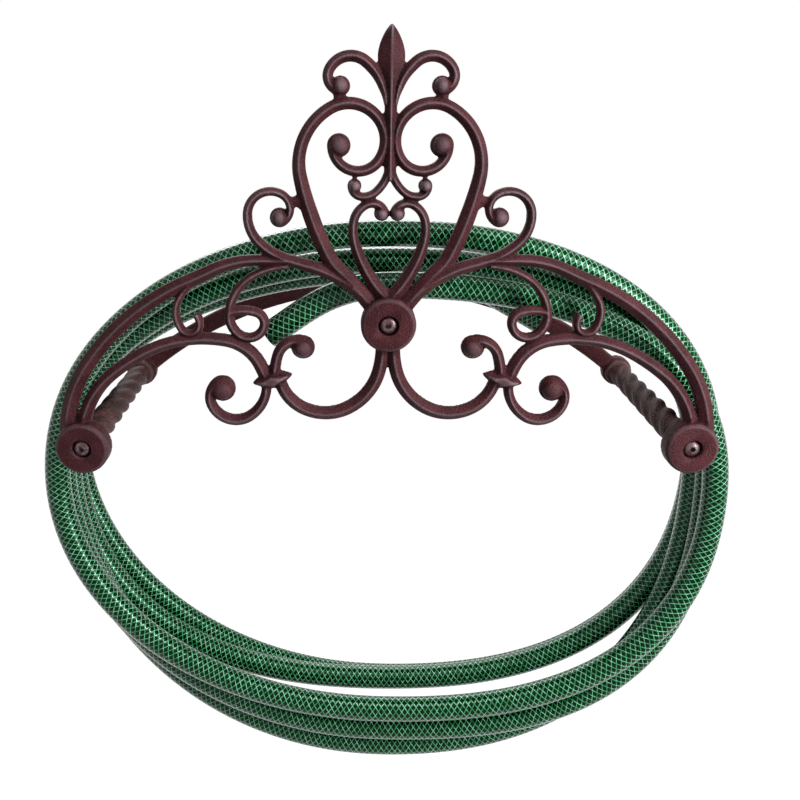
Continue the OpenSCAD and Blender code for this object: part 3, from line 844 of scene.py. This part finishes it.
def postTree():
    tree = newTree("rope post", {
        "Front": "Vector", "Back": "Vector", "Radius": "Float", "Tail": "Float", "Strands": "Float",
        "Turns": "Float", "Groove": "Float", "Yarns": "Float", "Yarn Groove": "Float", "Collar": "Float",
        "Collar Length": "Float", "Rings": "Int", "Sides": "Int", "Finish": "Material"})
    given = addNode(tree, "NodeGroupInput").outputs
    axis = addNode(tree, "GeometryNodeCurvePrimitiveLine", {"Start": given["Front"], "End": given["Back"]})
    stations = addNode(tree, "GeometryNodeResampleCurve", {"Curve": axis.outputs[0], "Count": given["Rings"]})
    share = addNode(tree, "GeometryNodeSplineParameter").outputs["Factor"]
    turns = addNode(tree, "ShaderNodeMath", {0: share, 1: given["Turns"]}, operation="MULTIPLY")
    turn = addNode(tree, "ShaderNodeMath", {0: turns.outputs[0], 1: 2 * math.pi}, operation="MULTIPLY")
    tilted = addNode(tree, "GeometryNodeSetCurveTilt", {"Curve": stations.outputs[0], "Tilt": turn.outputs[0]})
    radius = addNode(tree, "ShaderNodeMapRange", {"Value": share, 3: given["Radius"], 4: given["Tail"]})
    ring = addNode(tree, "GeometryNodeCurvePrimitiveCircle", {"Resolution": given["Sides"], "Radius": 1})
    around = addNode(tree, "GeometryNodeSplineParameter").outputs["Factor"]
    angle = addNode(tree, "ShaderNodeMath", {0: around, 1: math.pi}, operation="MULTIPLY")
    # a strand is a full lobe with a narrow groove, and its yarns are small lobes on it
    cuts = []
    for count, narrowness, depth in (("Strands", 2.6, "Groove"), ("Yarns", 2, "Yarn Groove")):
        wave = addNode(tree, "ShaderNodeMath", {0: angle.outputs[0], 1: given[count]}, operation="MULTIPLY")
        swing = addNode(tree, "ShaderNodeMath", {0: wave.outputs[0]}, operation="COSINE")
        size = addNode(tree, "ShaderNodeMath", {0: swing.outputs[0]}, operation="ABSOLUTE")
        lobe = addNode(tree, "ShaderNodeMath", {0: size.outputs[0], 1: narrowness}, operation="POWER")
        cut = addNode(tree, "ShaderNodeMath", {0: lobe.outputs[0], 1: given[depth]}, operation="MULTIPLY")
        cuts.append(cut.outputs[0])
    deep = addNode(tree, "ShaderNodeMath", {0: cuts[0], 1: cuts[1]}, operation="ADD")
    left = addNode(tree, "ShaderNodeMath", {0: 1, 1: deep.outputs[0]}, operation="SUBTRACT")
    corner = addNode(tree, "GeometryNodeInputPosition")
    scaled = addNode(tree, "ShaderNodeVectorMath", {
        0: corner.outputs[0], "Scale": left.outputs[0]}, operation="SCALE")
    outline = addNode(tree, "GeometryNodeSetPosition", {
        "Geometry": ring.outputs[0], "Position": scaled.outputs[0]})
    rope = addNode(tree, "GeometryNodeCurveToMesh", {
        "Curve": tilted.outputs[0], "Profile Curve": outline.outputs[0], "Scale": radius.outputs[0],
        "Fill Caps": True})
    parts = addNode(tree, "GeometryNodeJoinGeometry", {0: rope.outputs[0]})
    # the plain collars, with rounded edges
    for end, inwards in (("Front", 1), ("Back", -1)):
        length = addNode(tree, "ShaderNodeMath", {0: given["Collar Length"], 1: inwards}, operation="MULTIPLY")
        reach = addNode(tree, "ShaderNodeCombineXYZ", {"Y": length.outputs[0]})
        inner = addNode(tree, "ShaderNodeVectorMath", {0: given[end], 1: reach.outputs[0]}, operation="ADD")
        short = addNode(tree, "GeometryNodeCurvePrimitiveLine", {"Start": given[end], "End": inner.outputs[0]})
        fine = addNode(tree, "GeometryNodeResampleCurve", {
            "Curve": short.outputs[0], "Count": post["collarRings"]})
        way = addNode(tree, "GeometryNodeSplineParameter").outputs["Factor"]
        bulge = addNode(tree, "ShaderNodeFloatCurve", {"Value": way})
        first, *between, last = post["collarOutline"]
        line = bulge.mapping.curves[0]
        line.points[0].location, line.points[1].location = first, last
        for x, y in between:
            line.points.new(x, y)
        bulge.mapping.update()
        circle = addNode(tree, "GeometryNodeCurvePrimitiveCircle", {
            "Resolution": post["collarSides"], "Radius": 1})
        wide = addNode(tree, "ShaderNodeMath", {0: bulge.outputs[0], 1: given["Collar"]}, operation="MULTIPLY")
        collar = addNode(tree, "GeometryNodeCurveToMesh", {
            "Curve": fine.outputs[0], "Profile Curve": circle.outputs[0], "Scale": wide.outputs[0],
            "Fill Caps": True})
        tree.links.new(collar.outputs[0], parts.inputs[0])
    endTree(tree, parts.outputs[0], given["Finish"])
    return tree


def makePosts(material):
    tree = postTree()
    radius = post["diameter"] / 2 * mm
    for side, (x, z) in posts.items():
        piece = newObject("ropePost" + side.capitalize(), [(0, 0, 0)])
        addTree(piece, tree, {
            "Front": (x * mm, -layout["plateBack"] * mm, z * mm),
            "Back": (x * mm, -layout["postBack"] * mm, z * mm),
            "Radius": radius, "Tail": post["tail"] / 2 * mm, "Strands": float(post["strands"]),
            "Turns": post["twists"], "Groove": post["groove"] * mm / radius,
            "Yarns": float(post["strands"] * post["yarns"]), "Yarn Groove": post["yarnGroove"] * mm / radius,
            "Collar": post["collar"] / 2 * mm, "Collar Length": post["collarLength"] * mm,
            "Rings": post["rings"], "Sides": post["sides"], "Finish": material})
        mesh = applyAll(piece)
        fixed = bmesh.new()
        fixed.from_mesh(mesh)
        bmesh.ops.recalc_face_normals(fixed, faces=fixed.faces)
        fixed.to_mesh(mesh)
        fixed.free()
        shadeSmooth(mesh, post["sharpFrom"])
        markRidges(mesh, post["ridgePasses"])
        dress(piece, [material], "brown_rope_iron", "post_" + side)


makePosts(castIron("brown rope cast iron", ironLooks["rope"]))
print("posts twisted")


screws = {
    "shank": 6,
    "grip": 18,  # how far a shank reaches into its post
    "head": 12,
    "headHeight": 5.5,
    "domeFrom": 0.35,  # where the dome starts, as a share of the head's height
    "socket": 3.5,
    "socketDepth": 3,
    "sunkHead": 12,
    "crossWidth": 1.5,
    "crossDepth": 2.1,
    "crossTaper": 0.6,
    "sharpFrom": 32,
}


def repeatTree():
    # puts a copy of one piece at each point of the mesh that it is given
    tree = newTree("screw at each post", {"Screw": "Object", "Finish": "Material"})
    given = addNode(tree, "NodeGroupInput").outputs
    shape = addNode(tree, "GeometryNodeObjectInfo", {"Object": given["Screw"]})
    copies = addNode(tree, "GeometryNodeInstanceOnPoints", {
        "Points": given["Geometry"], "Instance": shape.outputs["Geometry"]})
    endTree(tree, copies.outputs[0], given["Finish"])
    return tree


def frontScrewShape():
    # a button head with a rounded rim over its shank, with a hexagon socket
    base = layout["plateBack"] + layout["bossDepth"] - layout["recessDepth"]
    r, h, shank = screws["head"] / 2, screws["headHeight"], screws["shank"] / 2
    reach = base - layout["plateBack"] + screws["grip"]
    low = screws["domeFrom"]
    dome = [(r * max(math.cos(a), 0) ** 0.8, h * low + h * (1 - low) * math.sin(a))
            for a in (math.radians(k * 9) for k in range(11))]
    profile = [(0, -reach), (shank, -reach), (shank, 0), (r * 0.97, 0), (r, 0.3)] + dome
    piece = joinSolids("frontScrewShape", [lathe((0, 0), profile, 64, base)])
    corner, floor = screws["socket"] / 2 / math.cos(math.pi / 6), h - screws["socketDepth"]
    hexagon = [(0, floor), (corner, floor), (corner, h + 1), (0, h + 1)]
    drill(piece, [lathe((0, 0), hexagon, 6, base)])
    return piece


def rearScrewShape():
    # a countersunk head with a cross recess, flush with the wall side
    r, shank = screws["sunkHead"] / 2, screws["shank"] / 2
    reach = layout["postBack"] + screws["grip"]
    profile = [(0, 0.02), (r - 0.3, 0.02), (r, 0.25), (shank, r - shank), (shank, reach - 1),
               (shank - 1, reach), (0, reach)]
    piece = joinSolids("rearScrewShape", [lathe((0, 0), profile, 64, 0)])
    narrow = screws["crossWidth"] / 2
    corners = ((-1, -1), (1, -1), (1, 1), (-1, 1))
    levels = ((-1, 1), (0, 1), (screws["crossDepth"], screws["crossTaper"]))
    for a, b in ((shank, narrow), (narrow, shank)):
        drill(piece, [loft([[(x * a * share, -depth, z * b * share) for x, z in corners]
                            for depth, share in levels])])
    return piece


def makeScrews(material):
    tree = repeatTree()
    for name, shape, prefix in (("frontScrews", frontScrewShape(), "front_screw_"),
                                ("rearScrews", rearScrewShape(), "rear_screw_")):
        piece = newObject(name, [(x * mm, 0, z * mm) for x, z in posts.values()])
        addTree(piece, tree, {"Screw": shape, "Finish": material})
        mesh = applyAll(piece)
        bpy.data.objects.remove(shape)
        shadeSmooth(mesh, screws["sharpFrom"])
        dress(piece, [material], "dark_screw_steel", *[prefix + side for side in posts])


makeScrews(tarnishedSteel())
print("screws set")


# Metres and watts
studio = {
    "floorBelow": 1.0,  # under the middle bolt, a usual mounting height
    "floorSize": 14,
    "floor": "#9a9a9a",
    "floorGlow": (0.95, 1),  # from near the part to far from it
    "glowFrom": (1.2, 4),
    "world": 0.05,
    "aim": (0, -0.1, -0.1),
    "lamps": [
        # name, place, width, height, watts
        ("right", (0.72, -0.74, 0.2), 0.24, 0.95, 15),
        ("left", (-0.8, -0.9, 0.2), 0.1, 1.2, 1.2),
        ("top", (0.15, -0.6, 1.1), 0.8, 0.4, 5),
        ("back", (-0.3, 1.3, 0.9), 1.2, 0.8, 12),
    ],
}


def makeLamps():
    for name, place, width, height, watts in studio["lamps"]:
        data = bpy.data.lights.new(name, "AREA")
        data.shape = "RECTANGLE"
        data.size, data.size_y, data.energy = width, height, watts
        made = bpy.data.objects.new(name, data)
        made.location = place
        made.rotation_euler = (Vector(studio["aim"]) - Vector(place)).to_track_quat("-Z", "Y").to_euler()
        scene.collection.objects.link(made)


def seenWhite(tree):
    # 1 for the rays that show the white studio, and 0 for those that only light the part
    path = addNode(tree, "ShaderNodeLightPath").outputs
    seen = path["Is Camera Ray"]
    for ray in ("Is Glossy Ray", "Is Transmission Ray"):
        seen = addNode(tree, "ShaderNodeMath", {0: seen, 1: path[ray]}, operation="MAXIMUM").outputs[0]
    return seen


def makeWorld():
    world = bpy.data.worlds.new("studio")
    world.use_nodes = True
    tree = world.node_tree
    tree.nodes.clear()
    strength = addNode(tree, "ShaderNodeMapRange", {"Value": seenWhite(tree), 3: studio["world"], 4: 1})
    sky = addNode(tree, "ShaderNodeBackground", {"Color": (1, 1, 1, 1), "Strength": strength.outputs[0]})
    addNode(tree, "ShaderNodeOutputWorld", {"Surface": sky.outputs[0]})
    scene.world = world


def makeFloor():
    half, z = studio["floorSize"] / 2, -studio["floorBelow"]
    floor = newObject("floor", [(-half, -half, z), (half, -half, z), (half, half, z), (-half, half, z)],
                      faces=[(0, 1, 2, 3)])
    material = bpy.data.materials.new("white studio floor")
    material.use_nodes = True
    tree = material.node_tree
    tree.nodes.clear()
    matt = addNode(tree, "ShaderNodeBsdfDiffuse", {"Color": colour(studio["floor"])})
    # the lamps don't reach the far floor, so it glows a little more to stay as white as the backdrop
    place = addNode(tree, "ShaderNodeTexCoord").outputs["Object"]
    away = addNode(tree, "ShaderNodeVectorMath", {0: place}, operation="LENGTH")
    (near, far), (least, most) = studio["glowFrom"], studio["floorGlow"]
    share = addNode(tree, "ShaderNodeMapRange", {
        "Value": away.outputs["Value"], 1: near, 2: far, 3: least, 4: most})
    lift = addNode(tree, "ShaderNodeMath", {0: seenWhite(tree), 1: share.outputs[0]}, operation="MULTIPLY")
    glow = addNode(tree, "ShaderNodeEmission", {"Strength": lift.outputs[0]})
    both = addNode(tree, "ShaderNodeAddShader", {0: matt.outputs[0], 1: glow.outputs[0]})
    addNode(tree, "ShaderNodeOutputMaterial", {"Surface": both.outputs[0]})
    floor.data.materials.append(material)


makeLamps()
makeWorld()
makeFloor()
scene.view_settings.view_transform = "Standard"
print("studio lit")

bpy.context.view_layer.update()
